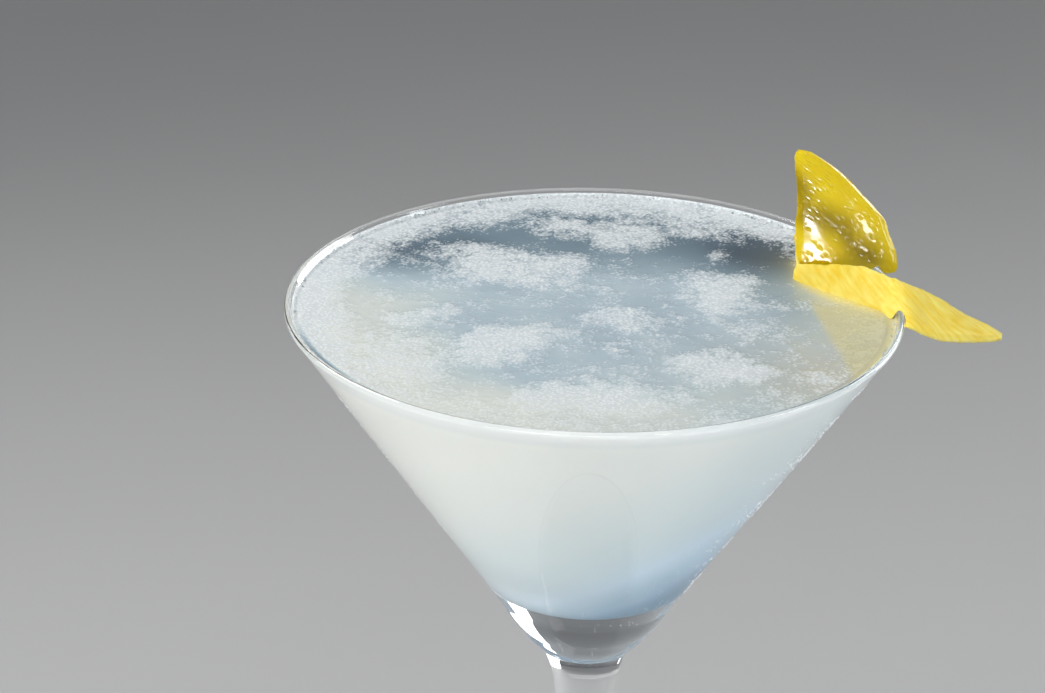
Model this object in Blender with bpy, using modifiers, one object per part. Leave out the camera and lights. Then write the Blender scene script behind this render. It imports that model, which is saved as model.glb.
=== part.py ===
"""White lady cocktail: a stemmed cone glass, the cloudy drink with its froth, and a lemon twist.

The object stands on z = 0 with the glass's axis on the Z axis. Lengths are in metres.
The twist hangs on the rim at +X, by a slit that straddles the wall.
"""

import math

import bmesh
import bpy
from mathutils import Matrix, Vector, noise

MM = 0.001

# ---- Driving dimensions -------------------------------------------------------------------

RIM_HEIGHT = 172 * MM
RIM_RADIUS = 55 * MM
CONE_HALF_ANGLE = math.radians(33.0)
WALL = 1.25 * MM
HOLLOW_BASE_RADIUS = 33 * MM      # ball that rounds off the bottom of the hollow

BOWL_STRAIGHT_TO = 17 * MM        # outer radius at which the cone starts to round in
FOOT_RADIUS = 39 * MM
FOOT_EDGE_BELLY = 1.4 * MM        # height of the widest line of the foot
FOOT_EDGE_ROUNDING = 1.4 * MM     # how far the underside stays inside the foot's edge

FILL_BELOW_RIM = 1.8 * MM
GAP = 0.3 * MM                    # between one piece and the next
FROTH_HEIGHT = 0.45 * MM

PEEL_THICKNESS = 1.3 * MM
SLIT_DEPTH = 20 * MM              # how far down the wall the slit's cutter reaches

TURN_STEPS = 64
DRINK_RINGS = 14
STATION_STEPS = 2                 # rows of faces from one peel station to the next
PEEL_COLUMNS = 5

DRINK_LEVEL = RIM_HEIGHT - FILL_BELOW_RIM

# Outer outline of the glass below the cone, as (radius, height) in millimetres: the bowl
# rounds in to a shoulder, and a stem of about 11 mm grows out of it and slims towards the foot.
BOWL_BASE = [
    (14.6, 109.4), (12.9, 107.0), (11.5, 105.1), (10.2, 103.6), (9.1, 102.6), (8.3, 101.5),
    (7.5, 99.9), (6.8, 98.0), (6.3, 95.6), (6.0, 92.6),
]
STEM = [(5.6, 86), (5.0, 72), (4.5, 55), (4.3, 38), (4.5, 24)]
FOOT_TOP = [(5.3, 16.5), (7.2, 11.2), (10.6, 8.0), (16.5, 5.9), (26.0, 4.2), (37.2, 2.6)]

# Patches of froth on the drink, in millimetres: centre x, centre y, half length, half width,
# turn in degrees, and how solid the patch is.
FROTH_PATCHES = [
    (-17, 17, 17, 10, -12, 1.0),
    (23, 7, 10, 11, 20, 1.0),
    (24, 25, 3, 4, 20, 0.6),
    (-16, -18, 12, 8, 30, 1.0),
    (21, -22, 8, 8, 20, 1.0),
    (29, -8, 5, 7, 0, 0.8),
    (4, -8, 7, 4, -15, 0.7),
    (-30, -7, 10, 5, 10, 0.7),
    (2, -38, 17, 7, 0, 0.9),
    (-36, -22, 13, 17, 35, 0.9),
    (36, -29, 6, 6, 40, 0.7),
    (7, 33, 7, 8, 10, 0.9),
]
FROTH_RING = 8.5 * MM             # mean width of the froth along the wall
FROTH_WANDER = 6 * MM             # size of the bays and tongues along the froth's edges
COARSE_WANDER = 0.45
FINE_WANDER = 0.25
PATCH_REACH = 1.35                # how far past its own outline a patch still has froth
FROTH_STEEPNESS = 2.2

# The lemon twist as a ribbon, as (x, y, height above the drink) in millimetres: each station has
# a point of the front edge, one of the middle and one of the back edge. It starts at the tip
# outside the glass, crosses the rim, dips into the drink, curls round and stands up to the other
# tip, so the back edge of the low part becomes the left edge of the part that stands.
PEEL_STATIONS = [
    ((72.0, -4.8, -2.0), (72.1, -4.1, -2.0), (72.2, -3.3, -1.9)),
    ((69.0, -6.5, -1.8), (69.6, -4.0, -1.7), (70.0, -1.4, -1.2)),
    ((64.6, -8.4, -1.1), (65.4, -4.5, -0.6), (66.2, -0.6, 0.3)),
    ((61.0, -9.2, -0.6), (61.9, -4.4, 0.3), (62.9, 0.6, 1.9)),
    ((58.2, -8.8, 0.1), (58.7, -3.4, 1.3), (59.3, 2.2, 3.4)),
    ((55.6, -7.6, 0.8), (55.8, -2.3, 2.5), (56.0, 3.0, 4.4)),
    ((53.6, -4.4, -0.4), (54.0, 0.2, 2.6), (54.4, 4.3, 4.7)),
    ((50.2, -1.2, -3.2), (51.3, 2.6, 0.6), (52.6, 6.0, 4.8)),
    ((43.4, 0.6, -4.8), (46.1, 5.6, -0.6), (48.4, 10.4, 4.7)),
    ((39.8, 5.0, -6.6), (41.8, 8.9, -1.6), (44.0, 12.4, 4.2)),
    ((38.2, 8.4, -8.4), (39.2, 11.4, -2.8), (40.6, 14.0, 3.5)),
    ((37.5, 10.8, -9.4), (37.7, 13.0, -3.4), (38.4, 15.3, 3.0)),
    ((37.3, 12.6, -10.0), (36.9, 14.6, -3.8), (37.2, 16.4, 2.6)),
    ((38.9, 14.2, -10.0), (37.9, 16.1, -3.6), (37.2, 17.5, 2.3)),
    ((42.2, 14.8, -8.4), (40.0, 16.9, -2.4), (36.9, 18.9, 2.9)),
    ((45.2, 15.0, -4.6), (42.0, 17.2, -0.2), (36.6, 19.8, 4.8)),
    ((47.4, 15.8, 0.2), (43.6, 17.6, 2.4), (36.5, 20.5, 6.8)),
    ((50.4, 17.0, 1.6), (44.8, 18.2, 4.4), (36.6, 21.2, 8.6)),
    ((53.2, 17.6, 0.6), (45.2, 18.8, 5.7), (36.7, 21.6, 9.8)),
    ((55.2, 18.4, 1.0), (45.3, 19.4, 7.0), (36.8, 22.0, 11.0)),
    ((55.0, 19.4, 3.8), (45.4, 20.0, 8.6), (36.8, 22.4, 12.2)),
    ((53.7, 20.6, 7.2), (45.3, 20.8, 10.6), (36.7, 23.0, 13.8)),
    ((52.6, 21.6, 9.6), (44.8, 21.7, 12.6), (36.6, 23.7, 15.6)),
    ((49.4, 22.9, 12.9), (43.4, 22.8, 15.2), (36.3, 24.5, 17.7)),
    ((45.6, 24.2, 16.5), (41.2, 24.2, 17.9), (36.1, 25.1, 19.4)),
    ((42.0, 25.4, 19.0), (39.2, 25.4, 19.9), (36.2, 25.6, 20.6)),
    ((39.0, 26.0, 20.7), (37.9, 26.0, 21.0), (36.8, 26.0, 21.2)),
]


# ---- Helpers ------------------------------------------------------------------------------

def clear_scene():
    for obj in list(bpy.data.objects):
        bpy.data.objects.remove(obj, do_unlink=True)


def new_collection(name):
    collection = bpy.data.collections.new(name)
    bpy.context.scene.collection.children.link(collection)
    return collection


def new_material(name, colour, roughness, metallic=0.0):
    material = bpy.data.materials.new(name)
    material.use_nodes = True
    shader = material.node_tree.nodes["Principled BSDF"]
    shader.inputs["Base Color"].default_value = (*colour, 1.0)
    shader.inputs["Roughness"].default_value = roughness
    shader.inputs["Metallic"].default_value = metallic
    return material


def new_object(name, mesh, collection, material=None):
    obj = bpy.data.objects.new(name, mesh)
    collection.objects.link(obj)
    if material:
        mesh.materials.append(material)
    mesh.shade_smooth()
    return obj


def hide_cutter(obj):
    obj.hide_render = True
    obj.display_type = "WIRE"


def catmull_rom(a, b, c, d, t):
    """The point at t between b and c, of a smooth curve through a, b, c and d."""
    return 0.5 * (
        2 * b + (c - a) * t + (2 * a - 5 * b + 4 * c - d) * t ** 2
        + (3 * b - a - 3 * c + d) * t ** 3
    )


def smooth_curve(points, steps):
    """Points of a smooth curve through the given ones, with the given steps in each span."""
    padded = [2 * points[0] - points[1], *points, 2 * points[-1] - points[-2]]
    curve = []
    for i in range(1, len(padded) - 2):
        for k in range(steps):
            curve.append(catmull_rom(*padded[i - 1:i + 3], k / steps))
    curve.append(points[-1])
    return curve


def arc(centre, radius, start, end, steps):
    """Points (radius, height) of a round stretch of a profile, with angles in degrees."""
    points = []
    for k in range(steps + 1):
        angle = math.radians(start + (end - start) * k / steps)
        points.append((centre[0] + radius * math.cos(angle), centre[1] + radius * math.sin(angle)))
    return points


def profile_mesh(name, profile, closed=False):
    """A line of (radius, height) points in the XZ plane, ready for a Screw."""
    mesh = bpy.data.meshes.new(name)
    points = [(radius, 0.0, height) for radius, height in profile]
    edges = [(i, i + 1) for i in range(len(points) - 1)]
    if closed:
        edges.append((len(points) - 1, 0))
    mesh.from_pydata(points, edges, [])
    return mesh


def turn(obj):
    """Turns the object's profile once round the Z axis."""
    screw = obj.modifiers.new("Turn", "SCREW")
    screw.axis = "Z"
    screw.steps = TURN_STEPS
    screw.render_steps = TURN_STEPS
    screw.use_merge_vertices = True
    screw.merge_threshold = 0.00001
    screw.use_smooth_shade = True


def cut(obj, cutter):
    boolean = obj.modifiers.new("Cut " + cutter.name, "BOOLEAN")
    boolean.operation = "DIFFERENCE"
    boolean.solver = "EXACT"
    boolean.object = cutter


# ---- Outlines of the bowl -----------------------------------------------------------------

def outer_cone_radius(height):
    return RIM_RADIUS - (RIM_HEIGHT - height) * math.tan(CONE_HALF_ANGLE)


def hollow_outline(inset, top):
    """The hollow of the bowl from its lowest point up to a height, drawn in by an inset."""
    slant = math.cos(CONE_HALF_ANGLE)
    wall_across = (WALL + inset) / slant
    tip = RIM_HEIGHT - (RIM_RADIUS - wall_across) / math.tan(CONE_HALF_ANGLE)
    ball = HOLLOW_BASE_RADIUS - inset
    centre = tip + ball / math.sin(CONE_HALF_ANGLE)
    outline = arc((0, centre), ball, -90, -math.degrees(CONE_HALF_ANGLE), 7)
    outline[0] = (0.0, outline[0][1])
    outline.append((outer_cone_radius(top) - wall_across, top))
    return outline


def glass_outline():
    """The whole glass: up the hollow, over the rim, down the cone, the stem and the foot."""
    lip = WALL / 2
    slant = math.degrees(CONE_HALF_ANGLE)
    lip_centre = (RIM_RADIUS - lip, RIM_HEIGHT - lip)
    hollow = hollow_outline(0, RIM_HEIGHT)[:-1]
    rim = arc(lip_centre, lip, 180 - slant, -slant, 5)
    cone_depth = (RIM_RADIUS - BOWL_STRAIGHT_TO) / math.tan(CONE_HALF_ANGLE)
    cone_end = (BOWL_STRAIGHT_TO, RIM_HEIGHT - cone_depth)
    lower = [(radius * MM, height * MM) for radius, height in BOWL_BASE]
    stem = [Vector((radius, height)) * MM for radius, height in [BOWL_BASE[-1], *STEM, *FOOT_TOP]]
    stem = [tuple(point) for point in smooth_curve(stem, 2)[1:]]
    belly = [
        (FOOT_RADIUS, FOOT_EDGE_BELLY),
        (FOOT_RADIUS - FOOT_EDGE_ROUNDING / 2, FOOT_EDGE_BELLY / 4),
    ]
    underside = [(FOOT_RADIUS - FOOT_EDGE_ROUNDING, 0.0), (0.0, 0.0)]
    return [*hollow, *rim, cone_end, *lower, *stem, *belly, *underside]


# ---- Glass --------------------------------------------------------------------------------

def make_glass(collection):
    material = new_material("clear_glass", (0.86, 0.90, 0.92), 0.03)
    glass = new_object("glass", profile_mesh("glass", glass_outline()), collection, material)
    turn(glass)
    return glass


# ---- Lemon twist --------------------------------------------------------------------------

def across_peel(front, middle, back, across):
    """The point at a share of the way from the front edge to the back edge, on a round bow."""
    return (
        front * (1 - across) * (1 - 2 * across)
        + middle * 4 * across * (1 - across)
        + back * across * (2 * across - 1)
    )


def peel_surface(name, overhang=0.0):
    """The ribbon's middle surface, with its edges moved outward by an overhang."""
    level = Vector((0, 0, DRINK_LEVEL))
    guides = []
    for k in range(3):
        points = [Vector(station[k]) * MM + level for station in PEEL_STATIONS]
        guides.append(smooth_curve(points, STATION_STEPS))
    mesh = bmesh.new()
    grid = []
    for front, middle, back in zip(*guides):
        margin = overhang / (back - front).length
        row = []
        for k in range(PEEL_COLUMNS + 1):
            across = -margin + (1 + 2 * margin) * k / PEEL_COLUMNS
            row.append(mesh.verts.new(across_peel(front, middle, back, across)))
        grid.append(row)
    for lower, upper in zip(grid, grid[1:]):
        for k in range(PEEL_COLUMNS):
            mesh.faces.new((lower[k], upper[k], upper[k + 1], lower[k + 1]))
    surface = bpy.data.meshes.new(name)
    mesh.to_mesh(surface)
    mesh.free()
    return surface


def thicken(obj, thickness):
    solidify = obj.modifiers.new("Thickness", "SOLIDIFY")
    solidify.thickness = thickness
    solidify.offset = 0.0


def make_rim_slot(cutters):
    """The wall of the bowl with its gap all round: it cuts the slit that straddles the rim."""
    slant = math.degrees(CONE_HALF_ANGLE)
    reach = WALL / 2 + GAP
    top = Vector((RIM_RADIUS - WALL / 2, RIM_HEIGHT - WALL / 2))
    down = -Vector((math.sin(CONE_HALF_ANGLE), math.cos(CONE_HALF_ANGLE)))
    outward = Vector((math.cos(CONE_HALF_ANGLE), -math.sin(CONE_HALF_ANGLE)))
    foot = top + down * SLIT_DEPTH
    profile = arc(top, reach, 180 - slant, -slant, 6)
    profile += [tuple(foot + outward * reach), tuple(foot - outward * reach)]
    slot = new_object("rim_slot", profile_mesh("rim_slot", profile, closed=True), cutters)
    turn(slot)
    hide_cutter(slot)
    return slot


def make_lemon_twist(collection, cutters):
    material = new_material("lemon_peel", (0.90, 0.72, 0.12), 0.45)
    twist = new_object("lemon_twist", peel_surface("lemon_twist"), collection, material)
    thicken(twist, PEEL_THICKNESS)
    cut(twist, make_rim_slot(cutters))
    pocket = new_object("peel_pocket", peel_surface("peel_pocket", GAP), cutters)
    thicken(pocket, PEEL_THICKNESS + 2 * GAP)
    hide_cutter(pocket)
    return twist, pocket


# ---- Drink --------------------------------------------------------------------------------

def froth_amount(x, y):
    """How much froth lies on the drink at a place, from 0 to 1."""
    place = Vector((x, y, 0)) / FROTH_WANDER
    wander = noise.noise(place) * COARSE_WANDER + noise.noise(place * 2.3) * FINE_WANDER
    free_radius = outer_cone_radius(DRINK_LEVEL) - WALL / math.cos(CONE_HALF_ANGLE)
    from_wall = free_radius - math.hypot(x, y)
    amount = 1 - from_wall / FROTH_RING + wander
    for centre_x, centre_y, length, width, turned, strength in FROTH_PATCHES:
        unturn = Matrix.Rotation(math.radians(-turned), 2)
        offset = unturn @ Vector((x / MM - centre_x, y / MM - centre_y))
        reach = math.hypot(offset.x / length, offset.y / width)
        amount = max(amount, strength * (PATCH_REACH - reach) + wander)
    return min(1.0, max(0.0, amount * FROTH_STEEPNESS))


def drink_outline():
    """The drink's section: up along the wall to the surface, then in to the axis."""
    side = hollow_outline(GAP, DRINK_LEVEL)
    edge = side[-1][0]
    surface = [(edge * (1 - k / DRINK_RINGS), DRINK_LEVEL) for k in range(1, DRINK_RINGS + 1)]
    return (side + surface)[::-1]


def make_drink(collection, pocket):
    material = new_material("cloudy_drink", (0.72, 0.75, 0.72), 0.2)
    line = new_object("drink_line", profile_mesh("drink_line", drink_outline()), collection)
    turn(line)
    turned = line.evaluated_get(bpy.context.evaluated_depsgraph_get())
    body = bpy.data.meshes.new_from_object(turned)
    body.name = "drink"
    bpy.data.objects.remove(line, do_unlink=True)
    for vertex in body.vertices:
        if vertex.co.z > DRINK_LEVEL - 0.01 * MM:
            vertex.co.z += FROTH_HEIGHT * froth_amount(vertex.co.x, vertex.co.y)
    drink = new_object("drink", body, collection, material)
    cut(drink, pocket)
    return drink


def main():
    clear_scene()
    model = new_collection("white_lady_cocktail")
    cutters = new_collection("cutters")
    make_glass(model)
    twist, pocket = make_lemon_twist(model, cutters)
    make_drink(model, pocket)


main()
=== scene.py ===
# %% [markdown]
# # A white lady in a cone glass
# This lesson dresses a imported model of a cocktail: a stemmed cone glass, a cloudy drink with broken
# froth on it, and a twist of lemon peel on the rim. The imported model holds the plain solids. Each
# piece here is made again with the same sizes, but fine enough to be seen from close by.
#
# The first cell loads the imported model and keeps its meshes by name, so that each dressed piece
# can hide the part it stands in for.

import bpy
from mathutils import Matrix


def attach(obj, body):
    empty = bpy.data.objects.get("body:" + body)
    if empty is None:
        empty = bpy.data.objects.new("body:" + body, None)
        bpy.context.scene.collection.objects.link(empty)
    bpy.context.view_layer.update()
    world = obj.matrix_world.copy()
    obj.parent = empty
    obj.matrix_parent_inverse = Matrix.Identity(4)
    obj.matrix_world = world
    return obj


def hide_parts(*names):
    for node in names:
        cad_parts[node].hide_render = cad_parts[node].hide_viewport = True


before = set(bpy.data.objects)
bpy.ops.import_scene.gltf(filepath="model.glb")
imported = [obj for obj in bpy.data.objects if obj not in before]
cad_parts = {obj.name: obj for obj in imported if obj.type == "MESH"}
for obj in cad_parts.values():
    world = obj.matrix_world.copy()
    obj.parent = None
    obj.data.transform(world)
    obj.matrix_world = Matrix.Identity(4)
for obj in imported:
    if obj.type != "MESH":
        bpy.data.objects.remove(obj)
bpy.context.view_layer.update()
print("packed nodes:", sorted(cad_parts))

# %% Modules
import math
import random

import bmesh
import bpy
import numpy as np
from mathutils import Matrix, Vector, noise

# %% [markdown]
# ## The sizes that everything shares
# All lengths are in metres, so a millimetre gets a name. The glass stands on z = 0 with its axis on
# Z. The twist hangs on the rim at +X, and -Y is the front.

# %% Sizes of the glass, the drink and the peel
MM = 0.001
RIM_HEIGHT = 172 * MM
RIM_RADIUS = 55 * MM
CONE_HALF_ANGLE = math.radians(33.37)
WALL = 1.25 * MM
LIP_CENTRE = Vector((RIM_RADIUS - WALL / 2, RIM_HEIGHT - WALL / 2))
DRINK_LEVEL = RIM_HEIGHT - 1.8 * MM
PEEL_THICKNESS = 1.3 * MM


def wall_radius(height, depth):
    """Radius of the cone at a height, on its outside (depth 0), its inside (WALL) or between."""
    middle = LIP_CENTRE.x - (LIP_CENTRE.y - height) * math.tan(CONE_HALF_ANGLE)
    return middle + (WALL / 2 - depth) / math.cos(CONE_HALF_ANGLE)


SURFACE_RADIUS = wall_radius(DRINK_LEVEL, WALL)
print(f"the drink's surface is {2000 * SURFACE_RADIUS:.0f} mm across")

# %% [markdown]
# ## Helpers that every piece needs
# A bmesh is Blender's mesh for scripts: operators shape it, and `to_mesh` writes it into a mesh for
# an object. Smooth shading bends the light over the faces, so they don't show one by one.


# %% From a bmesh to a piece
def finish_piece(mesh, name, *materials):
    """Writes a bmesh into a new smooth object that carries the given materials."""
    data = bpy.data.meshes.new(name)
    mesh.to_mesh(data)
    mesh.free()
    return piece_of(data, name, *materials)


def piece_of(data, name, *materials):
    """Shows a mesh as a smooth object that carries the given materials."""
    for material in materials:
        data.materials.append(material)
    data.shade_smooth()
    piece = bpy.data.objects.new(name, data)
    bpy.context.scene.collection.objects.link(piece)
    print(f"{name}: {len(data.polygons)} faces")
    return piece


# %% Smooth curves through points
def catmull_rom(a, b, c, d, t):
    """The point at t between b and c, of a smooth curve through a, b, c and d."""
    return 0.5 * (
        2 * b + (c - a) * t + (2 * a - 5 * b + 4 * c - d) * t ** 2
        + (3 * b - a - 3 * c + d) * t ** 3
    )


def smooth_curve(points, steps):
    """Points of a smooth curve through the given ones, with the given steps in each span."""
    padded = [2 * points[0] - points[1], *points, 2 * points[-1] - points[-2]]
    curve = []
    for i in range(1, len(padded) - 2):
        for k in range(steps):
            curve.append(catmull_rom(*padded[i - 1:i + 3], k / steps))
    curve.append(points[-1])
    return curve


def arc(centre, radius, start, end, steps):
    """Points (radius, height) of a round stretch of an outline, with angles in degrees."""
    angles = [math.radians(start + (end - start) * k / steps) for k in range(steps + 1)]
    return [(centre[0] + radius * math.cos(a), centre[1] + radius * math.sin(a)) for a in angles]


# %% [markdown]
# `spin` turns a line round an axis. Its time grows with the square of the steps, so a fine round
# shape is made as one wedge, like a slice of cake, which is copied and turned until it is whole.
# The skin's signed volume then tells whether its faces point outward, as glass needs them to.
#
# Smooth shading blends the normals of the faces that meet at a point, and a long face would carry
# that blend all along its length. So each long straight run of an outline gets a point close to
# either end, which keeps the blend there.

# %% Turning an outline round the axis
WEDGES = 16
LONG_RUN = 1.5 * MM
SUPPORT = 0.12 * MM
SPACING = 5 * MM


def with_supports(outline):
    """The same outline, with points near the ends of its long runs and spaced out between."""
    points = [Vector(point) for point in outline]
    supported = [points[0]]
    for a, b in zip(points, points[1:]):
        length = (b - a).length
        if length > LONG_RUN:
            pieces = max(1, round(length / SPACING))
            between = [k / pieces for k in range(1, pieces)]
            shares = [SUPPORT / length, *between, 1 - SUPPORT / length]
            supported += [a.lerp(b, share) for share in shares]
        supported.append(b)
    return supported


def spin_outline(outline, steps):
    """Turns a line of (radius, height) points round Z into a closed skin that points outward."""
    wedge = 2 * math.pi / WEDGES
    mesh = bmesh.new()
    outline = with_supports(outline)
    line = [mesh.verts.new((radius, 0, height)) for radius, height in outline]
    edges = [mesh.edges.new(pair) for pair in zip(line, line[1:])]
    bmesh.ops.spin(
        mesh, geom=line + edges, cent=(0, 0, 0), axis=(0, 0, 1), angle=wedge,
        steps=steps // WEDGES,
    )
    first = mesh.verts[:] + mesh.edges[:] + mesh.faces[:]
    for number in range(1, WEDGES):
        copy = bmesh.ops.duplicate(mesh, geom=first)["geom"]
        points = [part for part in copy if isinstance(part, bmesh.types.BMVert)]
        turn = Matrix.Rotation(number * wedge, 3, "Z")
        bmesh.ops.rotate(mesh, verts=points, cent=(0, 0, 0), matrix=turn)
    bmesh.ops.remove_doubles(mesh, verts=mesh.verts, dist=0.001 * MM)
    bmesh.ops.dissolve_degenerate(mesh, edges=mesh.edges, dist=0.0001 * MM)
    bmesh.ops.recalc_face_normals(mesh, faces=mesh.faces)
    if mesh.calc_volume(signed=True) < 0:
        bmesh.ops.reverse_faces(mesh, faces=mesh.faces)
    print(f"a closed skin of {mesh.calc_volume(signed=True) * 1e6:.1f} ml")
    return mesh


# %% [markdown]
# ## Helpers for materials
# A material is a small graph of nodes. These helpers add a node, set its values and join it to what
# it reads, so that each material below is short to read.

# %% Nodes and links
def add(tree, kind, inputs=None, **settings):
    """Adds a node. Inputs are values, or the output sockets that feed them."""
    node = tree.nodes.new(kind)
    for name, value in settings.items():
        setattr(node, name, value)
    for socket, value in (inputs or {}).items():
        if isinstance(value, bpy.types.NodeSocket):
            tree.links.new(value, node.inputs[socket])
        else:
            node.inputs[socket].default_value = value
    return node


def object_place(tree):
    """Where a point is on its piece, in metres."""
    return add(tree, "ShaderNodeTexCoord").outputs["Object"]


def stored(tree, name):
    """A value that the mesh stores on its points."""
    return add(tree, "ShaderNodeAttribute", attribute_name=name).outputs["Fac"]


def clouds(tree, place, scale, detail=2.0, **more):
    """Soft noise, from 0 to 1, with so many clouds in a metre."""
    inputs = {"Vector": place, "Scale": scale, "Detail": detail, **more}
    return add(tree, "ShaderNodeTexNoise", inputs).outputs["Fac"]


def new_material(name, **constants):
    """A material with its Principled shader, and the constant values of the shader's sockets."""
    material = bpy.data.materials.new(name)
    material.use_nodes = True
    shader = material.node_tree.nodes["Principled BSDF"]
    for socket, value in constants.items():
        shader.inputs[socket.replace("_", " ")].default_value = value
    return material, material.node_tree, shader


def feed(tree, shader, **outputs):
    """Joins outputs to the shader's sockets of the same names."""
    for socket, output in outputs.items():
        tree.links.new(output, shader.inputs[socket.replace("_", " ")])


def feed_bump(tree, shader, height, strength, distance):
    """Bends the shader's normal by a height."""
    inputs = {"Height": height, "Strength": strength, "Distance": distance}
    feed(tree, shader, Normal=add(tree, "ShaderNodeBump", inputs).outputs["Normal"])


def soak(shader, weight, reach, radius=(1.0, 0.2, 0.1)):
    """Lets light soak in, as far as the reach times each colour's radius."""
    shader.inputs["Subsurface Weight"].default_value = weight
    shader.inputs["Subsurface Radius"].default_value = radius
    shader.inputs["Subsurface Scale"].default_value = reach


def ramp(tree, factor, stops):
    """A colour ramp with (position, colour) stops."""
    node = add(tree, "ShaderNodeValToRGB", {"Fac": factor})
    elements = node.color_ramp.elements
    while len(elements) < len(stops):
        elements.new(0.5)
    for element, (position, colour) in zip(elements, stops):
        element.position = position
        element.color = (*colour, 1)
    return node.outputs["Color"]


def screen(red, green, blue):
    """A colour as a screen shows it, from 0 to 255, in the linear values that a shader takes."""
    shares = [value / 255 for value in (red, green, blue)]
    return tuple(v / 12.92 if v < 0.04045 else ((v + 0.055) / 1.055) ** 2.4 for v in shares)


def screen_ramp(tree, factor, stops):
    """A colour ramp with (position, red, green, blue) stops, in screen colours."""
    return ramp(tree, factor, [(position, screen(*colour)) for position, *colour in stops])


def blend_colours(tree, factor, first, second):
    """One colour over another, as much as the factor says."""
    colours = [(*c, 1) if isinstance(c, tuple) else c for c in (first, second)]
    # The colours of a mix node are its inputs 6 and 7, and their mix is its output 2.
    inputs = {"Factor": factor, 6: colours[0], 7: colours[1]}
    return add(tree, "ShaderNodeMix", inputs, data_type="RGBA").outputs[2]


def math_node(tree, operation, first, second):
    return add(tree, "ShaderNodeMath", {0: first, 1: second}, operation=operation).outputs[0]


def product(tree, first, second):
    return math_node(tree, "MULTIPLY", first, second)


def total(tree, first, second):
    return math_node(tree, "ADD", first, second)


def map_range(tree, value, low, high, to_low=0.0, to_high=1.0, smooth=False):
    """Stretches the values between low and high over a new range."""
    node = add(
        tree, "ShaderNodeMapRange",
        {"Value": value, "From Min": low, "From Max": high, "To Min": to_low, "To Max": to_high},
        interpolation_type="SMOOTHSTEP" if smooth else "LINEAR",
    )
    return node.outputs["Result"]


# %% [markdown]
# ## A shared effect: fine grain
# Froth and pith both have a fine unevenness. It is one node group: built once, and placed in each
# material with its own size. A group puts out values only, and the shader stays in
# the material.

# %% The grain group
def make_grain_group():
    group = bpy.data.node_groups.new("fine_grain", "ShaderNodeTree")
    group.interface.new_socket("Vector", in_out="INPUT", socket_type="NodeSocketVector")
    group.interface.new_socket("Grains per metre", in_out="INPUT", socket_type="NodeSocketFloat")
    group.interface.new_socket("Height", in_out="OUTPUT", socket_type="NodeSocketFloat")
    entry = group.nodes.new("NodeGroupInput")
    place, per_metre = entry.outputs["Vector"], entry.outputs["Grains per metre"]
    coarse = clouds(group, place, per_metre, 3.0, Roughness=0.62)
    cells = add(group, "ShaderNodeTexVoronoi", {"Vector": place, "Scale": per_metre}, feature="F1")
    lumps = map_range(group, cells.outputs["Distance"], 0.0, 0.75, 1.0, 0.0)
    height = product(group, coarse, lumps)
    group.links.new(height, add(group, "NodeGroupOutput").inputs["Height"])
    return group


GRAIN = make_grain_group()
print("node groups:", [group.name for group in bpy.data.node_groups])


def grain_height(tree, place, per_metre):
    """The height of the grain at a place, from 0 to 1."""
    node = add(tree, "ShaderNodeGroup", node_tree=GRAIN)
    tree.links.new(place, node.inputs["Vector"])
    node.inputs["Grains per metre"].default_value = per_metre
    return node.outputs["Height"]


# %% [markdown]
# ## The glass
# A blown and drawn glass is round, so it is one outline turned round its axis. The outline runs up
# the hollow, over the rounded lip, down the outside of the cone, and down the stem to the foot. It
# closes on the axis at both ends, so the skin is closed and light is bent in the right places. The
# lists hold points of it as (radius, height), in millimetres.

# %% The glass's outline
BOWL_BASE = [
    (14.6, 109.4), (12.9, 107.0), (11.5, 105.1), (10.2, 103.6), (9.1, 102.6), (8.3, 101.5),
    (7.5, 99.9), (6.8, 98.0), (6.3, 95.6), (6.0, 92.6),
]
STEM = [(5.6, 86), (5.0, 72), (4.5, 55), (4.3, 38), (4.5, 24)]
FOOT_TOP = [
    (5.3, 16.5), (7.2, 11.2), (10.6, 8.0), (16.5, 5.9), (26.0, 4.2), (37.2, 2.6), (38.6, 2.2),
]
FOOT_EDGE = [(39.0, 1.4), (38.7, 0.6), (38.1, 0.1), (37.4, 0.0), (20.0, 0.0), (0.0, 0.0)]
CONE_STRAIGHT_TO = 113.5 * MM
BASE_BALL = 33 * MM
BASE_STEPS = 26
LIP_STEPS = 14
STEPS_ROUND_GLASS = 192


def hollow_outline(top, into_wall=0.0):
    """The bowl's hollow from its lowest point up to a height, or a bit wider, into the wall."""
    ball = BASE_BALL + into_wall
    tip = RIM_HEIGHT - wall_radius(RIM_HEIGHT, WALL - into_wall) / math.tan(CONE_HALF_ANGLE)
    centre = tip + ball / math.sin(CONE_HALF_ANGLE)
    outline = arc((0, centre), ball, -90, -math.degrees(CONE_HALF_ANGLE), BASE_STEPS)
    outline[0] = (0.0, outline[0][1])
    outline.append((wall_radius(top, WALL - into_wall), top))
    return outline


def glass_outline():
    """The whole outline, from the bottom of the hollow to the middle of the foot."""
    slant = math.degrees(CONE_HALF_ANGLE)
    hollow = hollow_outline(RIM_HEIGHT)[:-1]
    rim = arc(LIP_CENTRE, WALL / 2, 180 - slant, -slant, LIP_STEPS)
    lower = [Vector((wall_radius(CONE_STRAIGHT_TO, 0), CONE_STRAIGHT_TO))]
    lower += [Vector(point) * MM for point in BOWL_BASE + STEM + FOOT_TOP]
    underside = [(radius * MM, height * MM) for radius, height in FOOT_EDGE]
    return [*hollow, *rim, *[tuple(point) for point in smooth_curve(lower, 5)], *underside]


outline_of_glass = glass_outline()
print(f"the glass's outline has {len(outline_of_glass)} points")

# %% [markdown]
# Clear glass is all transmission, with a refractive index of about 1.5. No real glass is perfectly
# even: a slow waviness in the normal and a trace of smears in the roughness keep its reflections
# from looking computed. It hardly shades what is in it, so the lamps shine through it.

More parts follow.
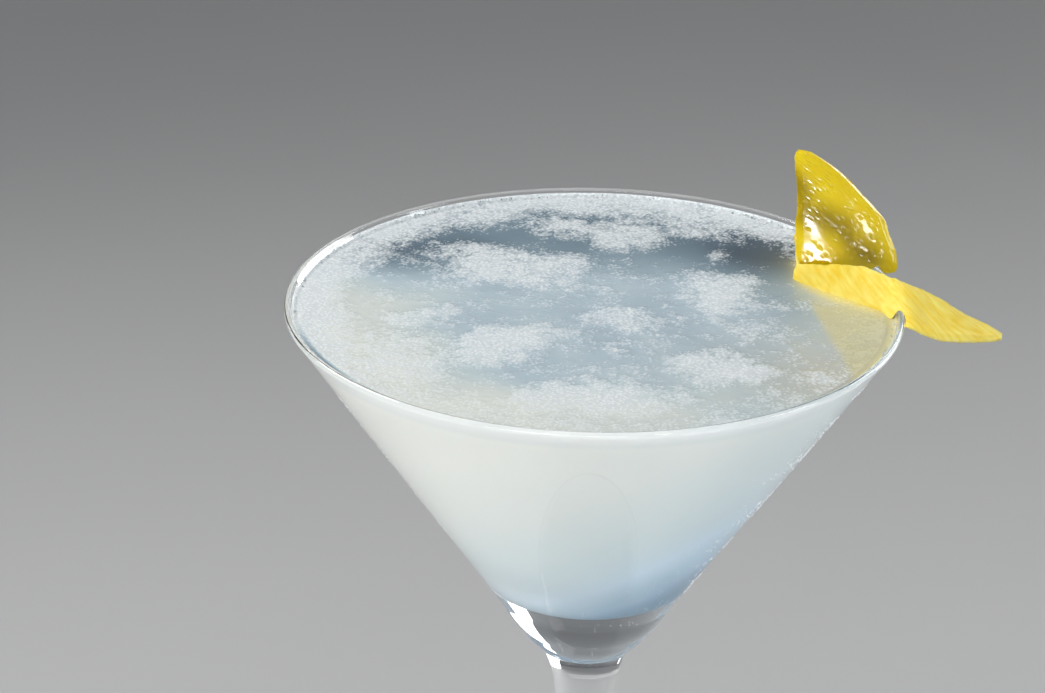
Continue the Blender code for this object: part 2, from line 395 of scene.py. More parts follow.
# %% The glass's material
clear_glass, tree, shader = new_material(
    "clear_glass", Base_Color=(0.985, 0.995, 1.0, 1), IOR=1.5, Roughness=0.0,
    Transmission_Weight=1.0,
)
place = object_place(tree)
smears = clouds(tree, place, 28.0, 4.0, Distortion=1.2)
feed(tree, shader, Roughness=map_range(tree, smears, 0.55, 0.8, 0.0, 0.05))
feed_bump(tree, shader, clouds(tree, place, 45.0, 1.0), strength=0.05, distance=0.2 * MM)

mesh = spin_outline(outline_of_glass, STEPS_ROUND_GLASS)
cone_glass = finish_piece(mesh, "cone_glass", clear_glass)
cone_glass.visible_shadow = False
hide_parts("glass")
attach(cone_glass, "root")

# %% [markdown]
# ## Where the froth lies
# The froth of a shaken drink drifts to the wall and breaks up into islands. One rule says how much
# froth there is at a place: a ring along the back and left wall, a few turned patches, and noise
# that frays their edges. At the front, the last millimetre before the wall stays clear, and there
# the drink's colour is darkened in a line: a painted reflection of the dim room in the meniscus.
# The surface's height, its colour and the crumbs all ask this rule, so they agree. A patch is
# (x, y, length, width, turned, strength), in millimetres and degrees.
#
# `noise_vector`, which swirls the islands, takes its offsets from a seed. Left alone, that comes
# from the clock, and each run gives another froth, so it is set here.

# %% The froth's rule
FROTH_PATCHES = [
    (-17, 18, 15.5, 10.5, -8, 1.0), (23, 8, 9.5, 10.5, 15, 1.0),
    (24, 25, 3, 4, 20, 0.55), (-15, -17, 13, 8.5, 32, 1.0),
    (22, -23, 8.5, 8.5, 20, 1.0), (28, -8, 3.6, 5.5, 0, 0.6),
    (5, -6, 9, 6.5, -20, 0.72), (3, -17, 3, 5, 0, 0.5),
    (-32, -6, 9, 6, 12, 0.75), (0, -38, 17, 7.5, 0, 0.95),
    (-34, -26, 12, 15, 35, 0.7), (37, -28, 4.5, 6, 40, 0.6),
    (6, 34, 7.5, 8.5, 10, 0.95), (20, 38, 12, 6, -25, 0.9),
    (-6, 21, 9, 7, 10, 0.8), (0, 38, 16, 5.5, -4, 0.85),
]
FROTH_RING = 10 * MM
FRAYING = ((3.6, 0.20), (7.5, 0.17), (15, 0.10))
SWIRL_SEED = 29
noise.seed_set(SWIRL_SEED)


def smoothstep(low, high, value):
    """Rises smoothly from 0 at low to 1 at high."""
    t = min(1.0, max(0.0, (value - low) / (high - low)))
    return t * t * (3 - 2 * t)


def bell(x, y, middle_x, middle_y, width, depth):
    """A round hill: 1 in its middle, and fading to 0 over a width and a depth."""
    return math.exp(-((x - middle_x) / width) ** 2 - ((y - middle_y) / depth) ** 2)


def drifted(x, y):
    """The place that drifting froth came from: a slow swirl, which makes its islands irregular."""
    spot = Vector((x, y, 20 * MM))
    slow = noise.noise_vector(spot / (11 * MM))
    quick = noise.noise_vector(spot / (3.6 * MM))
    return x + (4.2 * slow.x + 2.0 * quick.x) * MM, y + (4.2 * slow.y + 2.0 * quick.y) * MM


def at_front_wall(x, y):
    """From 0 to 1: the last millimetre before the wall, at the front and the right."""
    from_wall = (SURFACE_RADIUS - math.hypot(x, y)) / MM
    return smoothstep(1.2, 0.5, from_wall) * smoothstep(14, -16, y / MM - 0.3 * x / MM)


def froth_at(x, y):
    """How much froth there is at a place: below 0 is clear, above about 0.5 is closed froth."""
    spot = Vector((x, y, 0)) / (6 * MM)
    wander = noise.noise(spot) * 0.36 + noise.noise(spot * 2.3) * 0.24
    from_wall = SURFACE_RADIUS - math.hypot(x, y)
    edge = at_front_wall(x, y)
    back = smoothstep(-30 * MM, 12 * MM, y - 0.45 * x)
    veil = 0.10 - 0.25 * smoothstep(18 * MM, 34 * MM, y + 0.35 * x) + 1.1 * wander
    fray = sum(noise.noise(spot * fine) * share for fine, share in FRAYING)
    clear_spot = bell(x / MM, y / MM, 33, 29, 6, 5)
    x, y = drifted(x, y)
    drift_from_wall = SURFACE_RADIUS - math.hypot(x, y) - from_wall
    depth = max(0.0, from_wall + 0.35 * drift_from_wall) / FROTH_RING
    amount = max(veil, (0.35 + 0.70 * back) * (1.0 - 0.8 * depth ** 2) + 0.8 * wander)
    for centre_x, centre_y, length, width, turned, strength in FROTH_PATCHES:
        angle = math.radians(-turned)
        across, along = x / MM - centre_x, y / MM - centre_y
        reach = math.hypot(
            (across * math.cos(angle) - along * math.sin(angle)) / length,
            (across * math.sin(angle) + along * math.cos(angle)) / width,
        )
        amount = max(amount, strength * (0.98 - 0.72 * reach ** 2) + 0.8 * wander)
    return amount - 0.45 * clear_spot + fray - 1.6 * edge


print(f"froth: {froth_at(0, SURFACE_RADIUS):.2f} at the wall, {froth_at(0, 0):.2f} in the middle")


# %% [markdown]
# The drink under the froth isn't one colour either. Its colour carries painted light and shade:
# pale and warm at the front and the left, where the lamps light it, and deep and blue at the back,
# in painted shade, with the peel's painted shadow beside it and its painted warm light in front of
# it. Where the peel lies just under the surface, it shines through, and close to the waterline its
# yellow fades into the drink. Four more rules give those.

# %% The drink's painted light and shade, and the sunk peel
# Spots of painted shade: at the back right, beside the peel as the wing's painted shadow, and at the
# back left.
PAINTED_SHADE_SPOTS = [(0.42, 31, 27, 11, 13), (0.13, 34, 5, 6, 13), (0.26, -33, 23, 13, 9)]


def painted_shading_at(x, y):
    """Painted light and shade on the drink at a place, from 0 for deep shade to 1 for pale light."""
    edge = at_front_wall(x, y)
    x, y = x / MM, y / MM
    painted_shading = 0.70 - 0.38 * smoothstep(8, 32, y)
    for strength, *spot in PAINTED_SHADE_SPOTS:
        painted_shading -= strength * bell(x, y, *spot)
    # Painted light: paler towards the left and the front, where the lamps light the drink.
    painted_shading += 0.22 * smoothstep(-16, -46, x) * smoothstep(22, 0, y)
    painted_shading += 0.25 * smoothstep(-24, -46, y) * (1 - 0.6 * smoothstep(-8, 34, x))
    painted_shading += 0.08 * smoothstep(-4, -34, x) * smoothstep(0, -24, y)
    painted_shading += 0.07 * noise.noise(Vector((x, y, 3)) / 9)
    # A painted reflection of the dim room in the meniscus: darker along the front wall.
    return min(1.0, max(0.0, painted_shading * (1 - 0.55 * edge)))


def painted_peel_light_at(x, y):
    """How much painted warm light from the peel lies on the drink in front of it, from 0 to 1."""
    return bell(x / MM, y / MM, 44, -28, 20, 17)


WATERLINE = [
    (38.7, 22.2), (39.1, 13.6), (41.8, 9.2), (44.5, 6.1), (48.4, 3.6), (52.3, 1.2), (55.0, 0.0),
]


def distance_to_line(place, line):
    """How far a flat place is from a line through points."""
    nearest = math.inf
    for a, b in zip(line, line[1:]):
        a, b = Vector(a), Vector(b)
        share = min(1.0, max(0.0, (place - a).dot(b - a) / (b - a).length_squared))
        nearest = min(nearest, (place - a.lerp(b, share)).length)
    return nearest


def near_waterline(x, y):
    """How close a place is to where the peel leaves the drink, from 1 at the line to 0 far off."""
    nearest = distance_to_line(Vector((x, y)) / MM, WATERLINE)
    return 0.72 * math.exp(-((nearest / 2.0) ** 2)) + 0.28 * math.exp(-nearest / 4.5)


def sunk_peel_at(x, y):
    """How much the peel shows through the drink just under the surface, from 0 to 1."""
    x, y = x / MM, y / MM
    edge = 38.6 + (3.0 - y) * 0.166 + 0.4 * noise.noise(Vector((x, y, 7)) / 3)
    inside = smoothstep(-0.6, 1.5, x - edge) * smoothstep(8, 1.5, y + 0.1 * (x - 40))
    return inside * smoothstep(-31, -27, y)


# %% [markdown]
# ## The drink
# The drink fills the hollow, so its outline is the hollow's. It reaches 0.15 mm into the wall: with
# a gap there, the glass would mirror the air between them and look empty. At the top it climbs the
# wall in a meniscus, and then runs in to the axis in many rings, which the froth lifts.

# %% The drink's outline
INTO_WALL = 0.15 * MM
MENISCUS = 1.05 * MM
MENISCUS_REACH = 0.9 * MM
MENISCUS_STEPS = [0.12, 0.25, 0.4, 0.58, 0.8, 1.05, 1.35, 1.7]
SURFACE_RINGS = 110
STEPS_ROUND_DRINK = 640


def drink_outline():
    """Up the wall, over the meniscus and in along the surface."""
    side = hollow_outline(DRINK_LEVEL + MENISCUS, INTO_WALL)
    edge = side[-1][0]
    radii = [edge - step * MM for step in MENISCUS_STEPS]
    radii += [radii[-1] * (1 - k / SURFACE_RINGS) for k in range(1, SURFACE_RINGS)]
    for radius in radii:
        side.append((radius, DRINK_LEVEL + MENISCUS * math.exp(-(edge - radius) / MENISCUS_REACH)))
    return side + [(0.0, DRINK_LEVEL)]


mesh = spin_outline(drink_outline(), STEPS_ROUND_DRINK)
print(f"the drink has {len(mesh.verts)} points")

# %% [markdown]
# Each point of the surface now asks the rules. The froth lifts it by about a quarter of a
# millimetre, with a crumbly relief where it is closed. The answers are stored on the points, as
# attributes that the material can read. The faces of the side get a material of their own: there
# the drink touches glass, not air, so it hardly mirrors anything.

# %% Lifting the froth and storing the masks
FROTH_LIFT = 0.27 * MM
FROTH_RELIEF = 0.12 * MM
RELIEF_SIZES = ((0.9 * MM, 0, 0.6), (0.45 * MM, 5, 0.4))
SURFACE_SLOT, SIDE_SLOT = 0, 1
rules = {
    "froth": froth_at, "painted_shading": painted_shading_at, "sunk_peel": sunk_peel_at,
    "waterline": near_waterline, "painted_peel_light": painted_peel_light_at,
}
layers = {name: mesh.verts.layers.float.new(name) for name in rules}


def closed_froth(froth):
    """How closed the froth is, from 0 for loose to 1 for closed."""
    return smoothstep(-0.1, 0.75, froth)


for vert in mesh.verts:
    if vert.co.z < DRINK_LEVEL - 0.01 * MM:
        continue
    x, y = vert.co.x, vert.co.y
    for name, rule in rules.items():
        vert[layers[name]] = rule(x, y)
    closed = closed_froth(vert[layers["froth"]])
    closed *= smoothstep(0, 1.2 * MM, SURFACE_RADIUS - math.hypot(x, y))
    relief = sum(noise.noise(Vector((x, y, z)) / size) * high for size, z, high in RELIEF_SIZES)
    vert.co.z += closed * (FROTH_LIFT + FROTH_RELIEF * relief)
for face in mesh.faces:
    face.material_index = SIDE_SLOT if face.normal.z < 0.1 else SURFACE_SLOT

# %% [markdown]
# The surface's material mixes five things: the liquid, in a colour that follows its painted light
# and shade, the peel's painted warm light, the peel that shines through, its yellow at the
# waterline, and the froth, white and matt with a fine grain. The froth's mask is soft, as thin froth
# is half clear. The side fades from a warm white at the left and the top to a pale blue at the lower
# right: from left to right this is painted light and shade, and downward it is bluer where light
# comes through less of the drink. A little subsurface scattering softens light and shade, as in milk.

# %% The drink's materials
cloudy_drink, tree, shader = new_material("cloudy_drink", IOR=1.34, Roughness=0.08)
place = object_place(tree)
froth, painted_shading, sunk_peel, waterline, painted_peel_light = (stored(tree, name) for name in rules)
grain = grain_height(tree, place, 1500)

# Painted light and shade: the liquid's colour, from deep blue shade to pale lit white.
colour = screen_ramp(tree, painted_shading, [
    (0.0, 74, 90, 104), (0.15, 92, 110, 124), (0.35, 120, 140, 152), (0.52, 148, 166, 177),
    (0.70, 176, 192, 202), (0.78, 188, 203, 208), (0.88, 207, 214, 211), (1.0, 222, 225, 219),
])
for mask, strength, tint in (
    # The peel's painted warm light on the drink in front of it.
    (painted_peel_light, 0.85, screen(192, 190, 176)),
    (sunk_peel, 0.85, screen(203, 198, 160)),
    (waterline, 0.9, screen(246, 226, 130)),
):
    colour = blend_colours(tree, product(tree, mask, strength), colour, tint)

speckle = map_range(tree, grain, 0.12, 0.34)
breakup = map_range(tree, clouds(tree, place, 620.0, 5.0, Roughness=0.7), 0.3, 0.7, -0.34, 0.34)
uneven = total(tree, breakup, map_range(tree, speckle, 0.0, 1.0, -0.16, 0.16))
froth_mask = map_range(tree, total(tree, froth, uneven), 0.0, 0.95, smooth=True)
froth_white = blend_colours(tree, speckle, screen(209, 215, 218), screen(230, 234, 236))
bare = math_node(tree, "SUBTRACT", 1.0, math_node(tree, "MAXIMUM", sunk_peel, waterline))
covered = product(tree, froth_mask, product(tree, bare, 0.88))
feed(
    tree, shader, Base_Color=blend_colours(tree, covered, colour, froth_white),
    Roughness=map_range(tree, froth_mask, 0.0, 0.6, 0.07, 0.7),
)
feed_bump(tree, shader, product(tree, grain, froth_mask), strength=0.45, distance=0.4 * MM)
soak(shader, 0.25, 2 * MM, (1.0, 0.9, 0.8))

drink_side, tree, shader = new_material(
    "drink_side", IOR=1.34, Roughness=0.35, Specular_IOR_Level=0.1,
)
place = object_place(tree)
spread = add(tree, "ShaderNodeSeparateXYZ", {"Vector": place})
rightward = product(tree, spread.outputs["X"], 9.0)
downward = product(tree, spread.outputs["Z"], -16.0)
drift = product(tree, clouds(tree, place, 26.0), 0.2)
toward_lower_right = total(tree, total(tree, rightward, downward), drift)
# Painted light and shade: warm white at the left and blue at the right. It is also bluer downward,
# where light comes through less of the drink.
colour = screen_ramp(tree, map_range(tree, toward_lower_right, -2.65, -1.7), [
    (0.0, 244, 247, 243), (0.3, 238, 243, 241), (0.57, 225, 236, 238), (0.7, 219, 233, 238),
    (0.78, 217, 234, 246), (0.83, 206, 227, 240), (0.87, 195, 220, 235), (0.91, 186, 214, 235),
    (0.94, 168, 201, 226), (1.0, 140, 184, 214),
])
under_rim = map_range(
    tree, spread.outputs["Z"], DRINK_LEVEL - 2.6 * MM, DRINK_LEVEL - 1.0 * MM, smooth=True,
)
colour = blend_colours(tree, product(tree, under_rim, 0.5), colour, screen(224, 231, 233))
feed(tree, shader, Base_Color=colour)
soak(shader, 0.25, 2 * MM, (1.0, 0.9, 0.8))

white_lady = finish_piece(mesh, "white_lady", cloudy_drink, drink_side)
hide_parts("drink")
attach(white_lady, "root")

# %% [markdown]
# ## Loose crumbs
# Where the froth frays, crumbs of foam float on the drink. One small ball is made, and its mesh is
# repeated in one array of points. Each copy is drawn with seeded random numbers, and kept by the
# froth's rule: few where the drink is clear, and most where the froth is breaking up.

# %% Repeating one small mesh many times
def scatter(subdivisions, places, name, material):
    """Joins small balls in one piece. Places are (position, how it is turned, its radii)."""
    ball = bmesh.new()
    bmesh.ops.create_icosphere(ball, subdivisions=subdivisions, radius=1)
    points = np.array([vert.co for vert in ball.verts])
    faces = np.array([[vert.index for vert in face.verts] for face in ball.faces])
    ball.free()
    all_points, all_faces = [], []
    for number, (position, turn, radii) in enumerate(places):
        all_points.append((points * np.array(radii)) @ np.array(turn).T + np.array(position))
        all_faces.append(faces + number * len(points))
    data = bpy.data.meshes.new(name)
    points, faces = np.concatenate(all_points), np.concatenate(all_faces)
    data.from_pydata(points.tolist(), [], faces.tolist())
    return piece_of(data, name, material)


# %% Scattering the crumbs of froth
random.seed(7)
CRUMB_TRIES = 42000
CRUMB_CHANCE = 0.3
CLEAR_OF_WALL = 0.6 * MM
crumbs = []
for _ in range(CRUMB_TRIES):
    radius = (SURFACE_RADIUS - CLEAR_OF_WALL) * math.sqrt(random.random())
    angle = random.uniform(0, 2 * math.pi)
    x, y = radius * math.cos(angle), radius * math.sin(angle)
    froth = froth_at(x, y)
    chance = smoothstep(-0.15, 0.4, froth) * (1 - 0.4 * smoothstep(0.5, 1.0, froth))
    chance *= smoothstep(-0.2, 0.5, noise.noise(Vector((x, y, 9)) / (1.3 * MM)))
    chance *= 1 - 0.6 * smoothstep(8 * MM, 24 * MM, y)
    chance *= 1 - 0.5 * smoothstep(-22 * MM, -38 * MM, y)
    drawn = random.random() <= CRUMB_CHANCE * chance
    if not drawn or max(sunk_peel_at(x, y), near_waterline(x, y)) > 0.25:
        continue
    size = random.uniform(0.05, 0.10) * MM * random.choice((0.8, 1.0, 1.0, 1.4))
    radii = (size, size * random.uniform(0.7, 1), 0.4 * size)
    position = (x, y, DRINK_LEVEL + closed_froth(froth) * FROTH_LIFT)
    crumbs.append((position, Matrix.Rotation(angle, 3, "Z"), radii))
print(f"{len(crumbs)} crumbs of froth")

# %% [markdown]
# A crumb of froth is a cluster of tiny bubbles: white and wet, and it lets light soak in. Its tone
# varies from one to the next, by noise over the surface.

# %% The crumbs' material
froth_crumb, tree, shader = new_material("froth_crumb", IOR=1.34, Roughness=0.5)
tone = clouds(tree, object_place(tree), 900.0)
white = screen_ramp(tree, tone, [(0.3, 198, 207, 212), (0.65, 224, 230, 234)])
feed(tree, shader, Base_Color=white)
soak(shader, 0.2, 0.5 * MM)

froth_crumbs = scatter(1, crumbs, "froth_crumbs", froth_crumb)
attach(froth_crumbs, "root")

# %% [markdown]
# ## The lemon twist
# The twist is one ribbon of peel. Stations along it give a point on its front edge, one in its
# middle and one on its back edge, as x, y and height above the drink in millimetres. Smooth curves
# through them carry a grid, so the ribbon bends and curls as one sheet.

# %% The stations of the peel
PEEL_STATIONS = [
    ((72, -4.8, -2), (72.1, -4.1, -2), (72.2, -3.3, -1.9)),
    ((69, -6.5, -1.8), (69.6, -4, -1.7), (70, -1.4, -1.2)),
    ((64.6, -8.4, -1.1), (65.4, -4.5, -0.6), (66.2, -0.6, 0.3)),
    ((61, -9.2, -0.6), (61.9, -4.4, 0.3), (62.9, 0.6, 1.9)),
    ((58.2, -8.8, 0.1), (58.7, -3.4, 1.3), (59.3, 2.2, 3.4)),
    ((55.6, -7.6, 0.8), (55.8, -2.3, 2.5), (56, 3, 4.4)),
    ((53.6, -4.4, -0.4), (54, 0.2, 2.6), (54.4, 4.3, 4.7)),
    ((50.2, -1.2, -3.2), (51.3, 2.6, 0.6), (52.6, 6, 4.8)),
    ((43.4, 0.6, -4.8), (46.1, 5.6, -0.6), (48.4, 10.4, 4.7)),
    ((39.8, 5, -6.6), (41.8, 8.9, -1.6), (44, 12.4, 4.2)),
    ((38.2, 8.4, -8.4), (39.2, 11.4, -2.8), (40.6, 14, 3.5)),
    ((37.5, 10.8, -9.4), (37.7, 13, -3.4), (38.4, 15.3, 3)),
    ((37.3, 12.6, -10), (36.9, 14.6, -3.8), (37.2, 16.4, 2.6)),
    ((38.9, 14.2, -10), (37.9, 16.1, -3.6), (37.2, 17.5, 2.3)),
    ((42.2, 14.8, -8.4), (40, 16.9, -2.4), (36.9, 18.9, 2.9)),
    ((45.2, 15, -4.6), (42, 17.2, -0.2), (36.6, 19.8, 4.8)),
    ((47.4, 15.8, 0.2), (43.6, 17.6, 2.4), (36.5, 20.5, 6.8)),
    ((50.4, 17, 1.6), (44.8, 18.2, 4.4), (36.6, 21.2, 8.6)),
    ((53.2, 17.6, 0.6), (45.2, 18.8, 5.7), (36.7, 21.6, 9.8)),
    ((55.2, 18.4, 1), (45.3, 19.4, 7), (36.8, 22, 11)),
    ((55, 19.4, 3.8), (45.4, 20, 8.6), (36.8, 22.4, 12.2)),
    ((53.7, 20.6, 7.2), (45.3, 20.8, 10.6), (36.7, 23, 13.8)),
    ((52.6, 21.6, 9.6), (44.8, 21.7, 12.6), (36.6, 23.7, 15.6)),
    ((49.4, 22.9, 12.9), (43.4, 22.8, 15.2), (36.3, 24.5, 17.7)),
    ((45.6, 24.2, 16.5), (41.2, 24.2, 17.9), (36.1, 25.1, 19.4)),
    ((42, 25.4, 19), (39.2, 25.4, 19.9), (36.2, 25.6, 20.6)),
    ((39, 26, 20.7), (37.9, 26, 21), (36.8, 26, 21.2)),
]
STEPS_PER_STATION = 12
PEEL_COLUMNS = 62


def guide_curve(k):
    """The smooth curve through the front (0), middle (1) or back (2) points of the stations."""
    level = Vector((0, 0, DRINK_LEVEL))
    points = [Vector(station[k]) * MM + level for station in PEEL_STATIONS]
    return smooth_curve(points, STEPS_PER_STATION)


front_edge, middle_line, back_edge = (guide_curve(k) for k in range(3))
along = [0.0]
for a, b in zip(middle_line, middle_line[1:]):
    along.append(along[-1] + (b - a).length)
print(f"the ribbon is {along[-1] / MM:.0f} mm long")


# %% [markdown]
# A flat grid is made first. Every point of it knows its row along the ribbon and its column across,
# and moves to its place on the curves. The UV map keeps the flat ribbon's own millimetres, so pores
# and fibres follow the peel round its curl. Along the fold the colour is darkened to olive, a
# painted shade, and a line in flat millimetres says where.

# %% The ribbon's sheet
PEEL_UV_LENGTH = 0.1
# A line of painted shade along the fold, in flat millimetres.
PAINTED_SHADE_LINE = [(72, 9), (66, 8.5), (60, 8.5), (61.5, 4), (61.5, 0), (59.5, -2), (59.5, -5)]
STREAK_WIDTH = 3.3
THIN_EDGE = 1.6 * MM


def across_peel(front, middle, back, across):
    """The point at a share of the way from the front edge to the back edge, on a round bow."""
    return (
        front * (1 - across) * (1 - 2 * across)
        + middle * 4 * across * (1 - across)
        + back * across * (2 * across - 1)
    )


def knife_wander(distance, side):
    """How far the cut edge strays, from the small steps of a blade."""
    return (noise.noise(Vector((distance / (2.1 * MM), side * 9, 0))) * 0.22
            + noise.noise(Vector((distance / (0.7 * MM), side * 9, 4))) * 0.10) * MM


def painted_shade_at(u, v):
    """The painted shade along the peel's fold, from 0 to 1, at a place on the flat ribbon."""
    nearest = distance_to_line(Vector((u, v)) / MM, PAINTED_SHADE_LINE)
    return math.exp(-((nearest / STREAK_WIDTH) ** 2))


def make_ribbon():
    """The bent sheet, with its flat UV map, its thickness weights and its green streak."""
    rows = len(middle_line) - 1
    mesh = bmesh.new()
    bmesh.ops.create_grid(mesh, x_segments=rows, y_segments=PEEL_COLUMNS, size=0.5)
    uv_layer = mesh.loops.layers.uv.new("peel")
    # The bent sheet, with its flat UV map, its thickness weights and its streak of painted shade.
    edge_layer = mesh.verts.layers.deform.verify()
    streak_layer = mesh.verts.layers.float.new("painted_shade_streak")
    flat = {}
    for vert in mesh.verts:
        row = round((vert.co.x + 0.5) * rows)
        share = vert.co.y + 0.5
        width = (back_edge[row] - front_edge[row]).length
        side = 0 if share < 0.5 else 1
        shift = knife_wander(along[row], side) / width * abs(2 * share - 1) ** 3
        moved = share + (shift if share > 0.5 else -shift)
        vert.co = across_peel(front_edge[row], middle_line[row], back_edge[row], moved)
        to_edge = min(share, 1 - share) * width
        to_end = min(along[row], along[-1] - along[row])
        vert[edge_layer][0] = 0.42 + 0.58 * smoothstep(0, THIN_EDGE, min(to_edge, to_end))
        flat[vert.index] = (along[row], (share - 0.5) * width)
        vert[streak_layer] = painted_shade_at(*flat[vert.index])
    for face in mesh.faces:
        for loop in face.loops:
            u, v = flat[loop.vert.index]
            loop[uv_layer].uv = (u / PEEL_UV_LENGTH, v / PEEL_UV_LENGTH + 0.5)
    return mesh


# %% [markdown]
# The skin of the fruit, the zest, is on one side, and the white pith on the other. Solidify gives
# the sheet its thickness, thinner towards the cut edges, and a second and third material for the
# pith and for the cut.

# %% Materials of the peel
ZEST, PITH, CUT = range(3)
FIBRE_SLANT = math.radians(38)


def peel_place(tree):
    """The peel's own flat place in metres, from its UV map."""
    uv = add(tree, "ShaderNodeUVMap", uv_map="peel").outputs["UV"]
    inputs = {"Vector": uv, "Scale": (PEEL_UV_LENGTH,) * 3}
    return add(tree, "ShaderNodeMapping", inputs).outputs["Vector"]


def make_zest():
    """The yellow skin: glossy, with a pit over each oil gland, and a painted olive shade along the
    fold.
    """
    material, tree, shader = new_material(
        "lemon_zest", IOR=1.45, Roughness=0.35, Specular_IOR_Level=0.15,
        Coat_Weight=0.75, Coat_Roughness=0.08,
    )
    place = peel_place(tree)
    glands = add(tree, "ShaderNodeTexVoronoi", {"Vector": place, "Scale": 780.0}, feature="F1")
    pits = map_range(tree, glands.outputs["Distance"], 0.0, 0.55, smooth=True)
    broad = clouds(tree, place, 160.0, 3.0)
    yellow = ramp(tree, broad, [(0.25, (0.93, 0.65, 0.0)), (0.75, (1.0, 0.78, 0.01))])
    uneven = map_range(tree, broad, 0.3, 0.7, 0.75, 1.0)
    # Painted shade: dark olive along the fold.
    streak = product(tree, stored(tree, "painted_shade_streak"), uneven)
    colour = blend_colours(tree, streak, yellow, (0.33, 0.225, 0.0))
    gland = map_range(tree, pits, 0.0, 1.0, 0.3, 0.0)
    colour = blend_colours(tree, gland, colour, (0.78, 0.58, 0.01))
    feed(tree, shader, Base_Color=colour, Roughness=map_range(tree, broad, 0.3, 0.7, 0.28, 0.42))
    feed_bump(tree, shader, pits, strength=0.35, distance=0.15 * MM)
    soak(shader, 0.15, 0.8 * MM, (1.0, 0.6, 0.05))
    return material


def make_pith(name, pale, deep):
    """The peel's inside: pale pith with the zest's yellow behind it, in slanting fibres."""
    material, tree, shader = new_material(name, IOR=1.4, Roughness=0.75, Specular_IOR_Level=0.25)
    place = peel_place(tree)
    slant = add(tree, "ShaderNodeMapping", {
        "Vector": place, "Rotation": (0, 0, FIBRE_SLANT), "Scale": (4.0 * MM, 0.7 * MM, 1.0),
    }, vector_type="TEXTURE")
    fibres = clouds(tree, slant.outputs["Vector"], 1.0, 4.0)
    broad = clouds(tree, place, 190.0)
    mix = total(tree, product(tree, fibres, 0.6), product(tree, broad, 0.4))
    colour = ramp(tree, mix, [(0.36, deep), (0.62, pale)])
    # The same painted shade along the fold, on the pith side too.
    streak = product(tree, stored(tree, "painted_shade_streak"), 0.85)
    feed(tree, shader, Base_Color=blend_colours(tree, streak, colour, (0.38, 0.27, 0.01)))
    height = total(tree, fibres, product(tree, grain_height(tree, place, 1900), 0.35))
    feed_bump(tree, shader, height, strength=0.5, distance=0.25 * MM)
    soak(shader, 0.3, 1.0 * MM, (1.0, 0.75, 0.2))
    return material


lemon_zest = make_zest()
lemon_pith = make_pith("lemon_pith", (0.96, 0.81, 0.19), (0.88, 0.62, 0.035))
lemon_cut = make_pith("lemon_cut", (0.96, 0.82, 0.28), (0.90, 0.68, 0.08))
print("peel materials:", lemon_zest.name, lemon_pith.name, lemon_cut.name)


# %% [markdown]
# The sheet gets its thickness first. The twist hangs on the rim by a slit. The slit's cutter is the
# wall of the glass with a gap all round, turned round the axis.

# %% The twist
SLIT_GAP = 0.3 * MM
SLIT_DEPTH = 20 * MM


def make_rim_slot():
    """The cutter: a thickened upper part of the cone's wall."""
    slant = math.degrees(CONE_HALF_ANGLE)
    reach = WALL / 2 + SLIT_GAP
    down = -Vector((math.sin(CONE_HALF_ANGLE), math.cos(CONE_HALF_ANGLE)))
    outward = Vector((math.cos(CONE_HALF_ANGLE), -math.sin(CONE_HALF_ANGLE)))
    foot = LIP_CENTRE + down * SLIT_DEPTH
    outline = arc(LIP_CENTRE, reach, 180 - slant, -slant, 10)
    outline += [tuple(foot + outward * reach), tuple(foot - outward * reach), outline[0]]
    return finish_piece(spin_outline(outline, 256), "rim_slot")


def apply_modifiers(piece):
    """Replaces the piece's mesh by what its modifiers make of it."""
    evaluated = piece.evaluated_get(bpy.context.evaluated_depsgraph_get())
    data = bpy.data.meshes.new_from_object(evaluated)
    old, piece.data = piece.data, data
    piece.modifiers.clear()
    bpy.data.meshes.remove(old)
    data.name = piece.name


twist = finish_piece(make_ribbon(), "twist_of_lemon", lemon_zest, lemon_pith, lemon_cut)
twist.vertex_groups.new(name="thickness")
thickness = twist.modifiers.new("Thickness", "SOLIDIFY")
thickness.thickness = PEEL_THICKNESS
thickness.offset = 0.0
thickness.vertex_group = "thickness"
thickness.material_offset = PITH
thickness.material_offset_rim = CUT
apply_modifiers(twist)

# %% [markdown]
# Now each side gets its own relief. The zest has round pits, one in each cell of a Voronoi pattern,
# where its oil glands are. The pith has long low ridges that slant across it, torn by the knife.

# %% Pits in the zest, ridges on the pith
PIT_CELL = 1.15 * MM
PIT_DEPTH = 0.15 * MM
RIDGE_HEIGHT = 0.10 * MM


def pit_depth_at(u, v):
    """How deep the zest is at a place on the flat ribbon."""
    distances, centres = noise.voronoi(Vector((u, v, 0)) / PIT_CELL)
    size = 0.36 + 0.10 * noise.noise(centres[0] * 3.7)
    return PIT_DEPTH * (1 - smoothstep(0.04, size, distances[0]))


def ridge_height_at(u, v):
    """How high the pith's ridges are at a place on the flat ribbon."""
    along_fibre = u * math.cos(FIBRE_SLANT) + v * math.sin(FIBRE_SLANT)
    across_fibre = v * math.cos(FIBRE_SLANT) - u * math.sin(FIBRE_SLANT)
    ridges = noise.noise(Vector((along_fibre / (4.5 * MM), across_fibre / (0.85 * MM), 0)))
    lumps = noise.noise(Vector((u, v, 4 * MM)) / (2.2 * MM))
    return RIDGE_HEIGHT * (1.1 * ridges + 0.7 * lumps)


